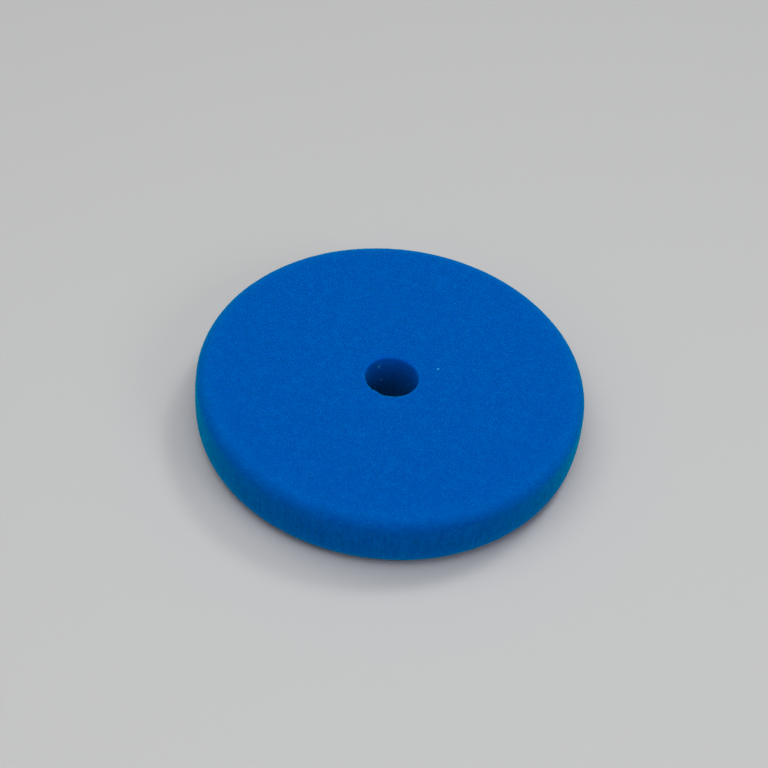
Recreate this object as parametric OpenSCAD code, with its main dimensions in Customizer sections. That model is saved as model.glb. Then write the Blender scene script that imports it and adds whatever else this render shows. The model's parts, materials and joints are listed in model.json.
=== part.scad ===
// Foam polishing pad with a loop backing and a hole punched through the middle.
// Millimetres, +Z up. The origin is the centre of the underside, on the plane that the
// tips of the loops reach, so the pad stands on it with its working face up.
// The layers are bonded face to face: loops, knitted ground, adhesive film, foam.

/* [Pad] */
// Diameter at the widest part of the side
pad_d = 150; // [75:1:230]
// Height from the tips of the loops to the working face
pad_h = 25; // [20:0.5:40]
// Diameter of the hole through every layer
hole_d = 20.5; // [8:0.5:30]

/* [Foam] */
// Radius of the shoulder round the working face
shoulder_r = 5; // [1:0.5:6]
// Radius of the lower edge, where the foam draws in to the backing
lower_edge_r = 6; // [2:0.5:7]
// Radius of the gentle bulge of the side, seen in section
side_r = 70; // [40:1:200]
// Height of the widest part of the side, as a share of the pad's height
bulge_share = 0.58; // [0.45:0.01:0.65]

/* [Backing] */
// How far the backing's edge stops short of the widest part of the side
backing_inset = 7; // [3:0.5:15]
// Thickness of the hot-melt film that bonds the loop fabric to the foam
film_t = 0.3; // [0.1:0.1:0.8]
// Thickness of the loop fabric's knitted ground
ground_t = 0.6; // [0.3:0.1:1.2]
// Height of the loops that stand on the ground
loop_h = 0.9; // [0.5:0.1:2]

/* [Hidden] */
$fn = 180;
// Steps along each rounded stretch of the foam's outline
arc_steps = 16;
// How far a cutter runs past the faces that it cuts
overrun = 1;

pad_r = pad_d / 2;
hole_r = hole_d / 2;
backing_r = pad_r - backing_inset;

// Height of each layer's lower face, from the ground up
ground_z = loop_h;
film_z = ground_z + ground_t;
foam_z = film_z + film_t;

// Points of an arc of radius r about the centre c, from angle a0 to angle a1
function arc(c, r, a0, a1) =
    [for (i = [0:arc_steps]) let (a = a0 + (a1 - a0) * i / arc_steps)
        c + r * [cos(a), sin(a)]];

// Centre, at height z, of a rounding of radius r that meets the side's bulge smoothly
function rounding_centre(r, z) =
    [side_c[0] + sqrt(pow(side_r - r, 2) - pow(z - side_c[1], 2)), z];

// Angle, at the bulge's centre, of the line that runs out through the point p
function bulge_angle(p) = atan2(p[1] - side_c[1], p[0] - side_c[0]);

// Centres of the three arcs that make the foam's side, as radius and height
side_c = [pad_r - side_r, pad_h * bulge_share];
shoulder_c = rounding_centre(shoulder_r, pad_h - shoulder_r);
lower_c = rounding_centre(lower_edge_r, foam_z + lower_edge_r);

foam_outline = concat(
    [[0, foam_z]],
    arc(lower_c, lower_edge_r, -90, bulge_angle(lower_c)),
    arc(side_c, side_r, bulge_angle(lower_c), bulge_angle(shoulder_c)),
    arc(shoulder_c, shoulder_r, bulge_angle(shoulder_c), 90),
    [[0, pad_h]]
);

// Cutter for the hole through every layer
module centre_hole() {
    translate([0, 0, -overrun])
        cylinder(r = hole_r, h = pad_h + 2 * overrun);
}

// One flat layer of the backing, from height z up
module backing_layer(z, thickness) {
    difference() {
        translate([0, 0, z])
            cylinder(r = backing_r, h = thickness);
        centre_hole();
    }
}

// Open-cell foam: flat working face, rounded shoulder, bulging side, rounded lower edge
module foam_disc() {
    color([0.0, 0.34, 0.69])
        difference() {
            rotate_extrude()
                polygon(foam_outline);
            centre_hole();
        }
}

// Hot-melt film between the foam and the loop fabric
module adhesive_film() {
    color([0.75, 0.76, 0.72])
        backing_layer(film_z, film_t);
}

// Knitted ground that carries the loops
module loop_fabric_ground() {
    color([0.21, 0.22, 0.24])
        backing_layer(ground_z, ground_t);
}

// The space that the standing loops fill, which grips a hook-faced backing plate
module loop_pile() {
    color([0.34, 0.35, 0.37])
        backing_layer(0, loop_h);
}

foam_disc();
adhesive_film();
loop_fabric_ground();
loop_pile();
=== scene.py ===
"""Looks for a foam polishing pad: blue open-cell foam on a loop backing, standing on a pale floor.

Metres, +Z up, in the frame of the CAD model. The pad is a body of revolution about Z, so most
pieces are an outline of radius and height, turned into a skin of near-equal triangles and then
given the relief of their material.
"""

import json
import math

import bpy
import numpy as np
from mathutils import Matrix, Vector, noise


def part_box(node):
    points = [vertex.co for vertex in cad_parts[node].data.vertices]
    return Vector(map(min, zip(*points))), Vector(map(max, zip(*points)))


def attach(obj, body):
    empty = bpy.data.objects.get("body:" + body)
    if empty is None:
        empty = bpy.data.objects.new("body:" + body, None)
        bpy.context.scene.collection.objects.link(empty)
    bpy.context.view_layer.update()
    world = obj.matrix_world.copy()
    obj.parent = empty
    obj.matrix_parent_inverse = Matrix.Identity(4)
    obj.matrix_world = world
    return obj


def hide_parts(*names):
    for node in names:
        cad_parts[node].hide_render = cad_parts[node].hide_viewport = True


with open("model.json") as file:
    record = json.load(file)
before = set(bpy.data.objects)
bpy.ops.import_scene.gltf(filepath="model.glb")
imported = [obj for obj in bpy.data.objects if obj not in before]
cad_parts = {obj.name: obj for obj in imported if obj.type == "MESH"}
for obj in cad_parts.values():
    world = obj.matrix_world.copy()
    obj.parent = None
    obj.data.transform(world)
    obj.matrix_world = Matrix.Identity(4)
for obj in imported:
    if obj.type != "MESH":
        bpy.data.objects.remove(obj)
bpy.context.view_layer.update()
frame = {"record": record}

MM = 0.001
BODY = "root"

# ---------------------------------------------------------------- sizes, from the frame

FOAM_LOW, FOAM_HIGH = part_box("foam_disc")
FILM_LOW, FILM_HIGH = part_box("adhesive_film")
GROUND_LOW, GROUND_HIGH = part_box("loop_fabric_ground")
PILE_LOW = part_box("loop_pile")[0]
HOLE = next(m for m in frame["record"]["mounts"] if m["name"] == "centre_hole")

PAD_R = FOAM_HIGH.x
TOP = FOAM_HIGH.z
BACKING_R = GROUND_HIGH.x
HOLE_R = HOLE["dims"]["r_mm"] * MM

# The foam's outline, as in the CAD source
SHOULDER_R = 5 * MM
LOWER_EDGE_R = 6 * MM
SIDE_R = 70 * MM
WIDEST_Z = 0.58 * TOP

# Soft edges of the punched hole, at its rim and at its foot
RIM_ROUND = 1.2 * MM
HOLE_FOOT_ROUND = 0.6 * MM

# Spacing of the knitted ground's ribs, and of the stitches along a rib
WALE_PITCH = 1.1 * MM
COURSE_PITCH = 0.9 * MM

# ---------------------------------------------------------------- camera

# How far the camera looks down and is tilted, and how far away it stands
CAMERA_ELEVATION = math.radians(46.17)
CAMERA_ROLL = math.radians(6.584)
CAMERA_DISTANCE = 806.1 * MM
# Focal length, in Blender's own millimetres
CAMERA_LENS = 98.66
# What the camera aims at, from the middle of the working face
AIM_LEFT = 2.688 * MM
AIM_DOWN = 3.452 * MM


def make_camera():
    """A long lens in front of the pad, looking along +Y and down, tilted a little to one side."""
    sin_e, cos_e = math.sin(CAMERA_ELEVATION), math.cos(CAMERA_ELEVATION)
    right, up, forward = Vector((1, 0, 0)), Vector((0, sin_e, cos_e)), Vector((0, cos_e, -sin_e))
    aim = Vector((0, 0, TOP)) - AIM_LEFT * right - AIM_DOWN * up
    sin_r, cos_r = math.sin(CAMERA_ROLL), math.cos(CAMERA_ROLL)
    rolled_right = cos_r * right + sin_r * up
    rolled_up = cos_r * up - sin_r * right
    camera = bpy.data.objects.new("camera", bpy.data.cameras.new("camera"))
    camera.data.lens = CAMERA_LENS
    camera.data.clip_start = 0.05
    camera.data.clip_end = 50
    turn = Matrix((rolled_right, rolled_up, -forward)).transposed()
    camera.matrix_world = Matrix.Translation(aim - CAMERA_DISTANCE * forward) @ turn.to_4x4()
    bpy.context.scene.collection.objects.link(camera)
    bpy.context.scene.camera = camera


# ---------------------------------------------------------------- shapes

# Points closer than this along an outline are one point
SAME_POINT = 1e-9
# Height of an equal-sided triangle, as a share of its side
TRIANGLE_HEIGHT = math.sqrt(0.75)
# Fewest corners in one ring of a turned skin
FEWEST_CORNERS = 12
# How far each next seed moves the noise, so that two seeds look unrelated
NOISE_SHIFT = (17.3, 9.1, 5.7)
PITS_SHIFT = (11.9, 3.7, 7.1)


def arc(centre, radius, start, end, steps=24):
    """Points of an arc about centre, from angle start to angle end, in degrees."""
    angles = np.radians(np.linspace(start, end, steps + 1))
    return [(centre[0] + radius * math.cos(a), centre[1] + radius * math.sin(a)) for a in angles]


def noise_at(points, size, seed):
    """Smooth noise from -1 to 1, one value a point, whose bumps are about size across."""
    shift = Vector([seed * step for step in NOISE_SHIFT])
    return np.array([noise.noise(Vector(p) / size + shift) for p in points])


def pits_at(points, size, seed):
    """1 at the middle of each random cell about size across, falling to 0 at half a cell away."""
    shift = Vector([seed * step for step in PITS_SHIFT])
    near = np.array([noise.voronoi(Vector(p) / size + shift)[0][0] for p in points])
    return np.clip(1 - near / 0.5, 0, 1)


def soft_ball(distance, size):
    """1 at no distance, falling smoothly to about 0.37 at size."""
    return np.exp(-((distance / size) ** 2))


class Outline:
    """A closed outline of radius and height, measured along its length, with its outward normal."""

    def __init__(self, points):
        p = np.array(points + points[:1], float)
        step = np.hypot(*np.diff(p, axis=0).T)
        keep = np.concatenate([[True], step > SAME_POINT])
        self.points = p[keep]
        step = np.hypot(*np.diff(self.points, axis=0).T)
        self.at = np.concatenate([[0], np.cumsum(step)])
        self.length = self.at[-1]

    def place(self, s):
        """Radius and height at each distance s along the outline."""
        s = np.mod(s, self.length)
        return np.interp(s, self.at, self.points[:, 0]), np.interp(s, self.at, self.points[:, 1])

    def normal(self, s, reach=0.15 * MM):
        """The outward normal's radial and upward parts at each distance s.
        The outline runs clockwise."""
        r0, z0 = self.place(s - reach)
        r1, z1 = self.place(s + reach)
        dr, dz = r1 - r0, z1 - z0
        size = np.hypot(dr, dz)
        return -dz / size, dr / size


def stitch(a, b):
    """Triangles between two rings. A ring is its first vertex's index, its count and its phase."""
    (a0, na, pa), (b0, nb, pb) = a, b
    i = j = 0
    faces = []
    while i < na or j < nb:
        if j >= nb or (i < na and (i + 1 + pa) / na <= (j + 1 + pb) / nb):
            faces.append((a0 + i % na, b0 + j % nb, a0 + (i + 1) % na))
            i += 1
        else:
            faces.append((a0 + i % na, b0 + j % nb, b0 + (j + 1) % nb))
            j += 1
    return faces


def turned_skin(outline, edge_at, jitter, seed):
    """An outline turned about Z into near-equal triangles, shaken so that no rings show.

    edge_at gives the triangle size wanted at a radius and height, and jitter is how far a corner
    may move, as a share of that size. Returns the points, their outward normals and the faces."""
    rng = np.random.default_rng(seed)
    stations = [0.0]
    while stations[-1] < outline.length:
        r, z = outline.place(stations[-1])
        stations.append(stations[-1] + edge_at(float(r), float(z)) * TRIANGLE_HEIGHT)
    stations = np.array(stations[:-1]) * outline.length / stations[-1]
    rings, s_all, angle_all, first = [], [], [], 0
    for k, s in enumerate(stations):
        r, z = (float(x) for x in outline.place(s))
        edge = edge_at(r, z)
        count = max(FEWEST_CORNERS, round(2 * math.pi * r / edge))
        phase = 0.5 * (k % 2)
        shake = jitter * edge
        turned = 2 * math.pi * (np.arange(count) + phase) / count
        angle_all.append(turned + rng.uniform(-shake, shake, count) / r)
        s_all.append(s + rng.uniform(-shake, shake, count))
        rings.append((first, count, phase))
        first += count
    s, angle = np.concatenate(s_all), np.concatenate(angle_all)
    r, z = outline.place(s)
    nr, nz = outline.normal(s)
    points = np.stack([r * np.cos(angle), r * np.sin(angle), z], 1)
    normals = np.stack([nr * np.cos(angle), nr * np.sin(angle), nz], 1)
    faces = [f for k in range(len(rings)) for f in stitch(rings[k - 1], rings[k])]
    return points, normals, faces


def make_piece(name, points, faces, materials, indices=None):
    """A smooth-shaded mesh object in the shared frame that rides on the pad's one body."""
    mesh = bpy.data.meshes.new(name)
    mesh.from_pydata(np.asarray(points).tolist(), [], faces)
    mesh.update()
    mesh.polygons.foreach_set("use_smooth", np.ones(len(faces), bool))
    for m in materials:
        mesh.materials.append(m)
    if indices is not None:
        mesh.polygons.foreach_set("material_index", indices)
    piece = bpy.data.objects.new(name, mesh)
    bpy.context.scene.collection.objects.link(piece)
    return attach(piece, BODY)


# ---------------------------------------------------------------- materials


class Nodes:
    """A small helper that builds a material's node tree one node at a time."""

    def __init__(self, name, **sockets):
        self.material = bpy.data.materials.new(name)
        self.material.use_nodes = True
        self.tree = self.material.node_tree
        self.shader = self.tree.nodes["Principled BSDF"]
        for socket, value in sockets.items():
            self.shader.inputs[socket.replace("_", " ")].default_value = value
        self.place = self.add("ShaderNodeTexCoord").outputs["Object"]

    def add(self, kind, inputs=(), **settings):
        node = self.tree.nodes.new(kind)
        for key, value in settings.items():
            setattr(node, key, value)
        for socket, value in dict(inputs).items():
            if isinstance(value, bpy.types.NodeSocket):
                self.tree.links.new(value, node.inputs[socket])
            else:
                node.inputs[socket].default_value = value
        return node

    def vector(self, operation, a, b=(0, 0, 0)):
        return self.add("ShaderNodeVectorMath", {0: a, 1: b}, operation=operation).outputs

    def noise(self, size, detail=2.0):
        """Smooth noise about 0.5 whose patches are about size across."""
        inputs = {"Vector": self.place, "Scale": 1 / size, "Detail": detail}
        return self.add("ShaderNodeTexNoise", inputs).outputs["Fac"]

    def streaks(self, size, stretch, detail=2.0):
        """Noise like noise(), with its patches drawn out along Z to stretch times their size."""
        drawn = self.vector("MULTIPLY", self.place, (1, 1, 1 / stretch))["Vector"]
        inputs = {"Vector": drawn, "Scale": 1 / size, "Detail": detail}
        return self.add("ShaderNodeTexNoise", inputs).outputs["Fac"]

    def out_and_up(self):
        """Distance out from the Z axis, and height."""
        flat = self.vector("MULTIPLY", self.place, (1, 1, 0))["Vector"]
        out = self.vector("LENGTH", flat)["Value"]
        up = self.add("ShaderNodeSeparateXYZ", {"Vector": self.place}).outputs["Z"]
        return out, up

    def ring_distance(self, radius, height):
        """Distance from a circle of that radius and height about Z."""
        out, up = self.out_and_up()
        beside = self.math("POWER", self.math("SUBTRACT", out, radius), 2)
        above = self.math("POWER", self.math("SUBTRACT", up, height), 2)
        return self.math("SQRT", self.math("ADD", beside, above), 0)

    def spot(self, centre, radius, strength):
        """strength inside a small ball about centre, fading to 0 at that radius."""
        away = self.vector("DISTANCE", self.place, centre)["Value"]
        return self.spread(away, 0.4 * radius, radius, strength, 0.0)

    def cells(self, size, feature, output="Distance"):
        """A pattern of random cells about size across."""
        inputs = {"Vector": self.place, "Scale": 1 / size}
        return self.add("ShaderNodeTexVoronoi", inputs, feature=feature).outputs[output]

    def spread(self, value, low, high, to_low=0.0, to_high=1.0):
        """value taken from low..high to to_low..to_high, and held inside that."""
        inputs = {
            "Value": value,
            "From Min": low,
            "From Max": high,
            "To Min": to_low,
            "To Max": to_high,
        }
        return self.add("ShaderNodeMapRange", inputs).outputs["Result"]

    def math(self, operation, a, b):
        return self.add("ShaderNodeMath", {0: a, 1: b}, operation=operation).outputs["Value"]

    def mix(self, factor, a, b):
        """Colour a where factor is 0 and b where it is 1."""
        node = self.add("ShaderNodeMix", {"Factor": factor}, data_type="RGBA")
        for socket, value in ((node.inputs[6], a), (node.inputs[7], b)):
            if isinstance(value, bpy.types.NodeSocket):
                self.tree.links.new(value, socket)
            else:
                socket.default_value = (*value, 1)
        return node.outputs[2]

    def bump(self, height, depth, strength=1.0):
        inputs = {"Height": height, "Distance": depth, "Strength": strength}
        return self.add("ShaderNodeBump", inputs).outputs["Normal"]

    def link(self, value, socket):
        self.tree.links.new(value, self.shader.inputs[socket])


# Sizes in the foam's grain: its cells, the finer grain on them, the cells of which some show as a
# bright fleck, the width of a score, the patches of faded foam, and the patches in the painted
# light on the shoulder, lower edge and hole rim
FOAM_CELL = 0.62 * MM
FINE_GRAIN = 0.35 * MM
FLECK_CELL = 1.0 * MM
SCORE_WIDTH = 0.9 * MM
FADED_PATCH = 2.6 * MM
PAINTED_LIGHT_PATCH = 4 * MM
# A score's length, as a number of its widths
SCORE_LENGTH = 12

# Colours of the foam, as linear red, green and blue
FOAM_STRUT = (0.0, 0.102, 0.473)
FOAM_VOID = (0.0, 0.069, 0.351)
# Scores on the side, which also darken the middle of the side as painted shade
FOAM_SCORED_AND_SHADED = (0.0, 0.063, 0.325)
FOAM_FADED = (0.0, 0.125, 0.53)
FOAM_FLECK = (0.01, 0.18, 0.66)
# Paler lower edge: painted bounce light from the floor
FOAM_LIP_BOUNCE_LIGHT = (0.0, 0.150, 0.60)
# Paler shoulder: a painted highlight where light falls on the rounding
FOAM_SHOULDER_LIGHT = (0.0, 0.172, 0.50)
# Paler upper wall of the hole: painted light
FOAM_RIM_LIGHT = (0.0, 0.160, 0.73)
# Darker down the hole: painted shade
FOAM_HOLE_SHADE = (0.0, 0.050, 0.16)
DUST = (0.10, 0.56, 1.0)

# Specks of dust: place from the middle of the working face, radius and strength
DUST_SPECKS = [
    ((17.4 * MM, 6.5 * MM, 0), 0.55 * MM, 0.65),
    ((-5.4 * MM, 8.7 * MM, -4.8 * MM), 1.00 * MM, 0.30),
    ((-4.6 * MM, 9.2 * MM, -6.6 * MM), 0.60 * MM, 0.15),
    ((-4.0 * MM, 9.4 * MM, -12.6 * MM), 1.00 * MM, 0.16),
]


def foam_cells(n):
    """The colour of struts round darker cells, and the grain that the bump follows."""
    wall = n.spread(n.cells(FOAM_CELL, "DISTANCE_TO_EDGE"), 0.04, 0.34)
    fine = n.noise(FINE_GRAIN, 2)
    void = n.math("MULTIPLY", wall, n.spread(fine, 0.3, 0.75, 0.35, 1.0))
    grain = n.math("SUBTRACT", n.math("MULTIPLY", fine, 0.5), wall)
    return n.mix(void, FOAM_STRUT, FOAM_VOID), grain


def foam_marks(n, colour):
    """colour with upright scores on the side, strongest halfway up so that they also paint shade on
    the middle of the side, soft faded patches and a few bright cut cells.
    """
    # The scores are strongest halfway up the side, where they also paint shade on the wall
    on_side = n.spread(n.ring_distance(PAD_R, 0.5 * TOP), 1 * MM, 11 * MM, 1.0, 0.0)
    scores = n.spread(n.streaks(SCORE_WIDTH, SCORE_LENGTH), 0.42, 0.70, 0.0, 0.90)
    colour = n.mix(n.math("MULTIPLY", scores, on_side), colour, FOAM_SCORED_AND_SHADED)
    faded = n.spread(n.noise(FADED_PATCH, 3), 0.46, 0.72, 0.0, 0.5)
    colour = n.mix(faded, colour, FOAM_FADED)
    bright = n.spread(n.cells(FLECK_CELL, "F1", "Color"), 0.72, 0.95, 0.0, 0.65)
    near = n.spread(n.cells(FLECK_CELL, "F1"), 0.12, 0.42, 1.0, 0.0)
    return n.mix(n.math("MULTIPLY", bright, near), colour, FOAM_FLECK)


def foam_painted_light(n, colour, hole_shade):
    """colour with painted light and shade: a paler shoulder as a painted highlight, a paler lower
    edge as painted bounce light, a paler upper wall of the hole as painted light, and painted shade
    down the hole.
    """
    patchy = n.spread(n.noise(PAINTED_LIGHT_PATCH, 3), 0.3, 0.7, 0.7, 1.0)
    # Painted highlight on the shoulder
    on_shoulder = n.ring_distance(PAD_R - 0.75 * SHOULDER_R, TOP - 0.1 * SHOULDER_R)
    shoulder = n.spread(on_shoulder, 0, 5 * MM, 0.18, 0.0)
    # Painted bounce light on the lower edge
    on_lower_edge = n.ring_distance(PAD_R, FOAM_LOW.z + 0.6 * LOWER_EDGE_R)
    low = n.spread(on_lower_edge, 0, 5 * MM, 0.40, 0.0)
    out, height = n.out_and_up()
    # Painted light on the upper wall of the hole, beside its rim
    rim = n.spread(height, TOP - 5.5 * MM, TOP - 1.5 * MM, 0.0, 0.8)
    beside_hole = n.spread(out, HOLE_R + 0.1 * MM, HOLE_R + 0.8 * MM, 1.0, 0.0)
    rim = n.math("MULTIPLY", rim, beside_hole)
    colour = n.mix(n.math("MULTIPLY", shoulder, patchy), colour, FOAM_SHOULDER_LIGHT)
    colour = n.mix(n.math("MULTIPLY", low, patchy), colour, FOAM_LIP_BOUNCE_LIGHT)
    colour = n.mix(n.math("MULTIPLY", rim, patchy), colour, FOAM_RIM_LIGHT)
    # Painted shade, darker down the hole
    shade = n.spread(height, TOP - 6 * MM, TOP - 18 * MM, 0.0, hole_shade)
    return n.mix(shade, colour, FOAM_HOLE_SHADE)


def foam_material(name, sheen, hole_shade):
    """Open-cell blue foam. sheen is the weight of the fuzz that shows at a grazing angle; the last
    argument is how far painted shade darkens the foam down the hole."""
    n = Nodes(
        name,
        Roughness=0.9,
        Specular_IOR_Level=0.0,
        Subsurface_Weight=0.6,
        Subsurface_Radius=(0.3, 0.6, 1.0),
        Subsurface_Scale=4 * MM,
        Sheen_Weight=sheen,
        Sheen_Roughness=0.4,
        Sheen_Tint=(0.0, 0.46, 0.26, 1),
    )
    colour, grain = foam_cells(n)
    colour = foam_painted_light(n, foam_marks(n, colour), hole_shade)
    for place, radius, strength in DUST_SPECKS:
        speck = n.spot(Vector(place) + Vector((0, 0, TOP)), radius, strength)
        colour = n.mix(speck, colour, DUST)
    n.link(colour, "Base Color")
    n.link(n.bump(grain, 0.10 * MM, 0.6), "Normal")
    return n.material


# Sizes of the webbed marks and of the cloudy patches, and the film's colour off and on the webs
FILM_WEB = 1.6 * MM
FILM_CLOUD = 0.8 * MM
FILM_THIN = (0.62, 0.63, 0.55)
FILM_THICK = (0.42, 0.44, 0.38)


def film_material():
    """Cloudy hot-melt film, with the webbed marks that its powder leaves."""
    n = Nodes("hot_melt_film", Roughness=0.45, Specular_IOR_Level=0.4)
    web = n.spread(n.cells(FILM_WEB, "DISTANCE_TO_EDGE"), 0.02, 0.2)
    n.link(n.mix(web, FILM_THIN, FILM_THICK), "Base Color")
    n.link(n.spread(n.noise(FILM_CLOUD, 3), 0.3, 0.7, 0.3, 0.65), "Roughness")
    n.link(n.bump(web, 0.05 * MM, 0.7), "Normal")
    return n.material


# Sizes in the ground's colour: its filaments and its paler patches
FILAMENT = 0.18 * MM
GROUND_PATCH = 3.0 * MM
# Dark filaments, and painted shade in the furrows between ribs
GROUND_DARK_AND_FURROW_SHADE = (0.014, 0.015, 0.018)
GROUND_RIB = (0.060, 0.064, 0.074)
GROUND_PALER = (0.055, 0.060, 0.072)


def ground_material():
    """Dark knitted nylon with fine twisted filaments and soft paler patches, and painted shade that
    darkens the furrows between its ribs.
    """
    n = Nodes("knitted_nylon_ground", Roughness=0.75, Sheen_Weight=0.4, Sheen_Roughness=0.4)
    across = n.add("ShaderNodeSeparateXYZ", {"Vector": n.place}).outputs["X"]
    # Painted shade: the filaments darken in the furrows between the ribs
    rib = n.math("COSINE", n.math("MULTIPLY", across, 2 * math.pi / WALE_PITCH), 0)
    twist = n.math("MULTIPLY", n.noise(FILAMENT, 3), n.spread(rib, -1, 0.6, 0.35, 1.2))
    colour = n.mix(twist, GROUND_DARK_AND_FURROW_SHADE, GROUND_RIB)
    patch = n.spread(n.noise(GROUND_PATCH, 2), 0.4, 0.7, 0.0, 0.35)
    n.link(n.mix(patch, colour, GROUND_PALER), "Base Color")
    n.link(n.bump(twist, 0.06 * MM, 0.6), "Normal")
    return n.material


YARN_SHADES = [
    (0.045, 0.048, 0.055),
    (0.070, 0.074, 0.084),
    (0.105, 0.110, 0.122),
    (0.150, 0.156, 0.170),
]


def yarn_material(i, shade):
    """One shade of the nylon loop yarn, with the soft shine of drawn filaments."""
    return Nodes(
        f"loop_yarn_{i}",
        Base_Color=(*shade, 1),
        Roughness=0.5,
        Specular_IOR_Level=0.4,
        Sheen_Weight=0.5,
        Sheen_Roughness=0.35,
        Sheen_Tint=(0.8, 0.85, 1.0, 1),
    ).material


# ---------------------------------------------------------------- foam

# Size of the foam's triangles where they show, and where the backing hides them
FOAM_EDGE = 0.62 * MM
HIDDEN_EDGE = 2.6 * MM

# Relief of the whole skin: its depth, its size and its seed, from slow waves to cut cells
FOAM_WAVES = [
    (0.10 * MM, 32 * MM, 1),
    (0.035 * MM, 5 * MM, 2),
    (0.050 * MM, 1.25 * MM, 3),
]
PIT_DEPTH = 0.090 * MM
PIT_SIZE = 1.9 * MM
# Raggedness of the hole's rim: its depth, its size and how far from the rim it reaches
RAGGED_DEPTH = 0.16 * MM
RAGGED_SIZE = 2.2 * MM
RAGGED_REACH = 1.6 * MM
# Waviness of the hole's wall
WALL_DEPTH = 0.10 * MM
WALL_SIZE = 6 * MM
# One snag on the hole's rim
SNAG_ANGLE = math.radians(-121)
SNAG_HEIGHT = 0.4 * MM
SNAG_REACH = 1.2 * MM
# Furrows that the cutter leaves up the side: depth, width, and length as a number of widths
FURROW_DEPTH = 0.035 * MM
FURROW_WIDTH = 1.6 * MM
FURROW_LENGTH = 8


def foam_outline():
    """Clockwise from the hole's wall: working face, shoulder, side, lower edge, base, hole."""
    side_c = np.array([PAD_R - SIDE_R, WIDEST_Z])

    def rounding(radius, z):
        across = math.sqrt((SIDE_R - radius) ** 2 - (z - side_c[1]) ** 2)
        return np.array([side_c[0] + across, z])

    def angle(p):
        return math.degrees(math.atan2(p[1] - side_c[1], p[0] - side_c[0]))

    base = FOAM_LOW.z
    shoulder_c = rounding(SHOULDER_R, TOP - SHOULDER_R)
    lower_c = rounding(LOWER_EDGE_R, base + LOWER_EDGE_R)
    foot_c = (HOLE_R + HOLE_FOOT_ROUND, base + HOLE_FOOT_ROUND)
    return Outline(
        arc((HOLE_R + RIM_ROUND, TOP - RIM_ROUND), RIM_ROUND, 180, 90)
        + arc(shoulder_c, SHOULDER_R, 90, angle(shoulder_c))
        + arc(side_c, SIDE_R, angle(shoulder_c), angle(lower_c))
        + arc(lower_c, LOWER_EDGE_R, angle(lower_c), -90)
        + arc(foot_c, HOLE_FOOT_ROUND, -90, -180)
    )


def foam_relief(points, normals, radius, on_base):
    """How far each point of the foam's skin stands out: waves, pits, furrows and a ragged hole."""
    relief = sum(depth * noise_at(points, size, seed) for depth, size, seed in FOAM_WAVES)
    relief -= PIT_DEPTH * pits_at(points, PIT_SIZE, 4) ** 2
    from_rim = np.hypot(radius - HOLE_R, points[:, 2] - TOP)
    relief += soft_ball(from_rim, RAGGED_REACH) * RAGGED_DEPTH * noise_at(points, RAGGED_SIZE, 5)
    in_hole = (radius < HOLE_R + 0.3 * MM) & ~on_base
    relief += in_hole * WALL_DEPTH * noise_at(points, WALL_SIZE, 6)
    snag = np.array([HOLE_R * math.cos(SNAG_ANGLE), HOLE_R * math.sin(SNAG_ANGLE), TOP])
    relief += SNAG_HEIGHT * soft_ball(np.linalg.norm(points - snag, axis=1), SNAG_REACH)
    upright = np.abs(normals[:, 2]) < 0.7
    drawn = points * (1, 1, 1 / FURROW_LENGTH)
    relief += upright * FURROW_DEPTH * noise_at(drawn, FURROW_WIDTH, 7)
    relief[on_base] = 0
    return relief


def make_foam():
    """The foam disc, with the grain of cut cells, small open pits and a ragged punched hole."""
    base = FOAM_LOW.z

    def edge_at(r, z):
        hidden = z < base + 0.01 * MM and HOLE_R + 2 * MM < r < BACKING_R - 3 * MM
        return HIDDEN_EDGE if hidden else FOAM_EDGE

    points, normals, faces = turned_skin(foam_outline(), edge_at, 0.16, 11)
    radius = np.hypot(points[:, 0], points[:, 1])
    on_base = points[:, 2] < base + 0.3 * MM
    relief = foam_relief(points, normals, radius, on_base)
    punched = radius[np.array(faces)].max(1) < HOLE_R + 0.5 * RIM_ROUND
    # The punched wall gets painted shade down the hole
    materials = [
        foam_material("buffed_blue_foam", sheen=0.6, hole_shade=0.0),
        foam_material("punched_blue_foam", sheen=0.0, hole_shade=0.9),
    ]
    points = points + normals * relief[:, None]
    foam = make_piece("foam_disc_open_cell", points, faces, materials, punched.astype(int))
    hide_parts("foam_disc")


# ---------------------------------------------------------------- backing


def ring_outline(low, high, inner, outer, rounding):
    """Clockwise outline of a flat ring with rounded edges."""
    return Outline(
        arc((inner + rounding, high - rounding), rounding, 180, 90, 6)
        + arc((outer - rounding, high - rounding), rounding, 90, 0, 6)
        + arc((outer - rounding, low + rounding), rounding, 0, -90, 6)
        + arc((inner + rounding, low + rounding), rounding, -90, -180, 6)
    )


FILM_EDGE_ROUND = 0.13 * MM
# Size of the film's triangles at its edges, and on its flats
FILM_EDGE = 0.35 * MM
FILM_FLAT_EDGE = 1.8 * MM
# How far the squeezed edge wanders: its depth, its size and its seed
FILM_WANDER = [(0.22 * MM, 3.5 * MM, 22), (0.10 * MM, 1.1 * MM, 23)]


def make_film():
    """The adhesive film: flat between its neighbours, with a squeezed edge that wanders."""
    outline = ring_outline(FILM_LOW.z, FILM_HIGH.z, HOLE_R, BACKING_R, FILM_EDGE_ROUND)

    def edge_at(r, z):
        near_edge = r > BACKING_R - 0.6 * MM or r < HOLE_R + 0.6 * MM
        return FILM_EDGE if near_edge else FILM_FLAT_EDGE

    points, _, faces = turned_skin(outline, edge_at, 0.1, 21)
    radius = np.hypot(points[:, 0], points[:, 1])
    at_edge = np.clip((radius - BACKING_R + 0.5 * MM) / (0.5 * MM), 0, 1)
    push = sum(at_edge * depth * noise_at(points, size, seed) for depth, size, seed in FILM_WANDER)
    outward = points[:, :2] / radius[:, None]
    points[:, :2] += outward * push[:, None]
    film = make_piece("hot_melt_adhesive_film", points, faces, [film_material()])
    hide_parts("adhesive_film")


GROUND_EDGE_ROUND = 0.2 * MM
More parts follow.
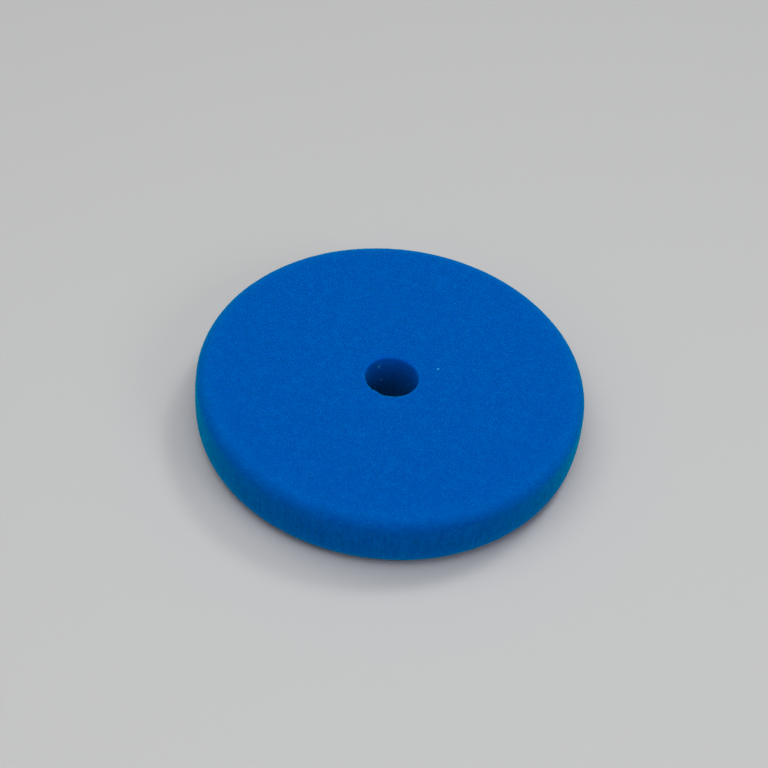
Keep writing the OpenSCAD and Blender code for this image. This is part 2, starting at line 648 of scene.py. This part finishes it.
# Size of the ground's triangles where its knitting shows, and where the film hides it
GROUND_EDGE = 0.42 * MM
GROUND_FLAT_EDGE = 2.4 * MM
# Depth of the furrows between stitches
KNIT_DEPTH = 0.20 * MM
# Slow unevenness of the ground: its depth and its size
UNEVEN_DEPTH = 0.04 * MM
UNEVEN_SIZE = 6 * MM
# How far a stitch's line slants across its rib, as a share of the stitch
STITCH_SLANT = 0.35


def knit_height(x, y):
    """Relief of the knitted ground, from 0 in its furrows to 1 on its stitches."""
    rib = 0.5 + 0.5 * np.cos(2 * math.pi * x / WALE_PITCH)
    lean = np.where(np.floor(x / WALE_PITCH + 0.5) % 2 == 0, 1.0, -1.0)
    along = y / COURSE_PITCH + lean * STITCH_SLANT * x / WALE_PITCH
    stitch_line = 0.5 + 0.5 * np.cos(2 * math.pi * along)
    return rib * (0.55 + 0.45 * stitch_line)


def make_ground():
    """The knitted ground: ribs of stitches on its outer side, flat where the film holds it."""
    outline = ring_outline(GROUND_LOW.z, GROUND_HIGH.z, HOLE_R, BACKING_R, GROUND_EDGE_ROUND)
    middle = (GROUND_LOW.z + GROUND_HIGH.z) / 2

    def edge_at(r, z):
        hidden = z > middle and HOLE_R + 1.5 * MM < r < BACKING_R - 1.5 * MM
        return GROUND_FLAT_EDGE if hidden else GROUND_EDGE

    points, _, faces = turned_skin(outline, edge_at, 0.08, 31)
    below = points[:, 2] < GROUND_LOW.z + 0.05 * MM
    relief = KNIT_DEPTH * (1 - knit_height(points[:, 0], points[:, 1]))
    relief += UNEVEN_DEPTH * noise_at(points, UNEVEN_SIZE, 32)
    points[below, 2] += np.clip(relief, 0, None)[below]
    ground = make_piece("knitted_loop_fabric_ground", points, faces, [ground_material()])
    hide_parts("loop_fabric_ground")
    return ground


# Spacing of the loops along a row and of the rows, and how far a loop may stand off its place
LOOP_PITCH = 1.62 * MM
ROW_PITCH = 0.87 * LOOP_PITCH
LOOP_STRAY = 0.3 * MM
# How far the loops' yarn is rooted in the ground, and how far its tips stay above the floor
ROOT_DEPTH = 0.12 * MM
TIP_GAP = 0.02 * MM
# How far the loops stay from the edges of the hole and of the backing
HOLE_MARGIN = 1.1 * MM
BACKING_MARGIN = 0.8 * MM
# A loop's yarn: its radius, the steps along it and the sides round it
YARN_R = 0.12 * MM
LOOP_STEPS = 5
LOOP_SIDES = 3


def loop_path(rng):
    """One loop with its feet close and its head wide: distance across and share of its drop, along
    its yarn, and how far it lies over to each side by its tip."""
    t = np.linspace(0, math.pi, LOOP_STEPS + 1)
    across = rng.uniform(0.9, 1.35) * MM * -np.cos(t) * (0.5 + 0.6 * np.sin(t))
    down = rng.uniform(0.72, 1.0) * np.sin(t) ** 0.7
    sideways = float(rng.uniform(-0.4, 0.4)) * MM
    forwards = float(rng.uniform(0.5, 1.5) * rng.choice((-1, 1))) * MM
    return across, down, sideways, forwards


def add_tube(line, side, points, faces):
    """Adds a closed tube of yarn along line to points and faces. side is a direction square to the
    line."""
    first = len(points)
    ahead = np.gradient(line, axis=0)
    ahead /= np.linalg.norm(ahead, axis=1)[:, None]
    other = np.cross(ahead, side)
    for p, o in zip(line, other):
        for k in range(LOOP_SIDES):
            a = 2 * math.pi * k / LOOP_SIDES
            points.append(p + YARN_R * (math.cos(a) * side + math.sin(a) * o))
    for i in range(len(line) - 1):
        for k in range(LOOP_SIDES):
            a = first + i * LOOP_SIDES + k
            b = first + i * LOOP_SIDES + (k + 1) % LOOP_SIDES
            c, d = a + LOOP_SIDES, b + LOOP_SIDES
            faces += [(a, b, d), (a, d, c)]
    last = first + (len(line) - 1) * LOOP_SIDES
    for k in range(1, LOOP_SIDES - 1):
        faces.append((first, first + k + 1, first + k))
        faces.append((last, last + k, last + k + 1))


def make_loops():
    """The raised loops, in staggered rows. Each is a closed tube of yarn rooted in the ground."""
    rng = np.random.default_rng(41)
    root = GROUND_LOW.z + ROOT_DEPTH
    drop = root - PILE_LOW.z - YARN_R - TIP_GAP
    points, faces, shades = [], [], []
    rows = int(BACKING_R / ROW_PITCH) + 1
    columns = int(BACKING_R / LOOP_PITCH) + 1
    for row in range(-rows, rows + 1):
        for column in range(-columns, columns + 1):
            x = (column + 0.5 * (row % 2)) * LOOP_PITCH + rng.uniform(-LOOP_STRAY, LOOP_STRAY)
            y = row * ROW_PITCH + rng.uniform(-LOOP_STRAY, LOOP_STRAY)
            turn = rng.normal(0.3 * math.pi * (1 if row % 2 else -1), 0.6)
            across, down, sideways, forwards = loop_path(rng)
            shade = int(rng.integers(len(YARN_SHADES)))
            u = Vector((math.cos(turn), math.sin(turn), 0))
            v = Vector((-u.y, u.x, 0))
            over = u * sideways + v * forwards
            tip = Vector((x, y, 0)) + over
            nearest, farthest = sorted((math.hypot(x, y), math.hypot(tip.x, tip.y)))
            if nearest < HOLE_R + HOLE_MARGIN or farthest > BACKING_R - BACKING_MARGIN:
                continue
            fall = over - Vector((0, 0, drop))
            line = np.array((x, y, root)) + np.outer(across, u) + np.outer(down, fall)
            add_tube(line, np.array(u.cross(fall).normalized()), points, faces)
            shades += [shade] * (len(faces) - len(shades))
    materials = [yarn_material(i, s) for i, s in enumerate(YARN_SHADES)]
    loops = make_piece("raised_nylon_loops", points, faces, materials, shades)
    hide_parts("loop_pile")
    return loops


def make_loop_fabric():
    """The knitted ground and its loops, which are one sheet of cloth cut to a ring."""
    ground = make_ground()
    loops = make_loops()


# ---------------------------------------------------------------- stage and light

FLOOR_HALF = 15.0
FLOOR_COLOUR = (0.58, 0.58, 0.57, 1)

WHITE = (1, 1, 1)
# Soft square lights that face the pad: name, place, side, power in watts and colour
LIGHTS = [
    ("overhead", (-0.2, 0, 1.2), 1.2, 7.0, WHITE),
    ("back", (0.58, 0.68, 1.33), 0.4, 5.2, WHITE),
    ("front_high", (-0.1, -0.7, 1.21), 0.5, 2.9, WHITE),
    ("front_left", (-0.9, -0.95, 0.92), 0.9, 1.5, WHITE),
    ("front_right", (1.07, -0.75, 0.92), 0.6, 3.4, (0.94, 0.93, 1.0)),
]
SURROUND_COLOUR = (0.92, 0.95, 1.0, 1)
SURROUND_STRENGTH = 0.20


def make_floor():
    """A plain pale floor."""
    corners = [(-1, -1), (1, -1), (1, 1), (-1, 1)]
    mesh = bpy.data.meshes.new("floor")
    mesh.from_pydata([(x * FLOOR_HALF, y * FLOOR_HALF, 0) for x, y in corners], [], [(0, 1, 2, 3)])
    mesh.materials.append(Nodes("pale_floor", Base_Color=FLOOR_COLOUR, Roughness=0.6).material)
    floor = bpy.data.objects.new("floor", mesh)
    bpy.context.scene.collection.objects.link(floor)


def area_light(name, place, size, power, colour):
    """A square soft light at place that faces the pad."""
    data = bpy.data.lights.new(name, "AREA")
    data.shape = "SQUARE"
    data.size = size
    data.energy = power
    data.color = colour
    light = bpy.data.objects.new(name, data)
    facing = (-Vector(place)).to_track_quat("-Z", "Y").to_matrix().to_4x4()
    light.matrix_world = Matrix.Translation(place) @ facing
    bpy.context.scene.collection.objects.link(light)


def make_light():
    """Soft light from overhead, behind and the front, in a dim surround."""
    for name, place, size, power, colour in LIGHTS:
        area_light(name, place, size, power, colour)
    world = bpy.data.worlds.new("surround")
    world.use_nodes = True
    background = world.node_tree.nodes["Background"]
    background.inputs["Color"].default_value = SURROUND_COLOUR
    background.inputs["Strength"].default_value = SURROUND_STRENGTH
    bpy.context.scene.world = world
    bpy.context.scene.view_settings.view_transform = "Standard"


# ---------------------------------------------------------------- the pad

make_camera()
make_foam()
make_film()
make_loop_fabric()
make_floor()
make_light()
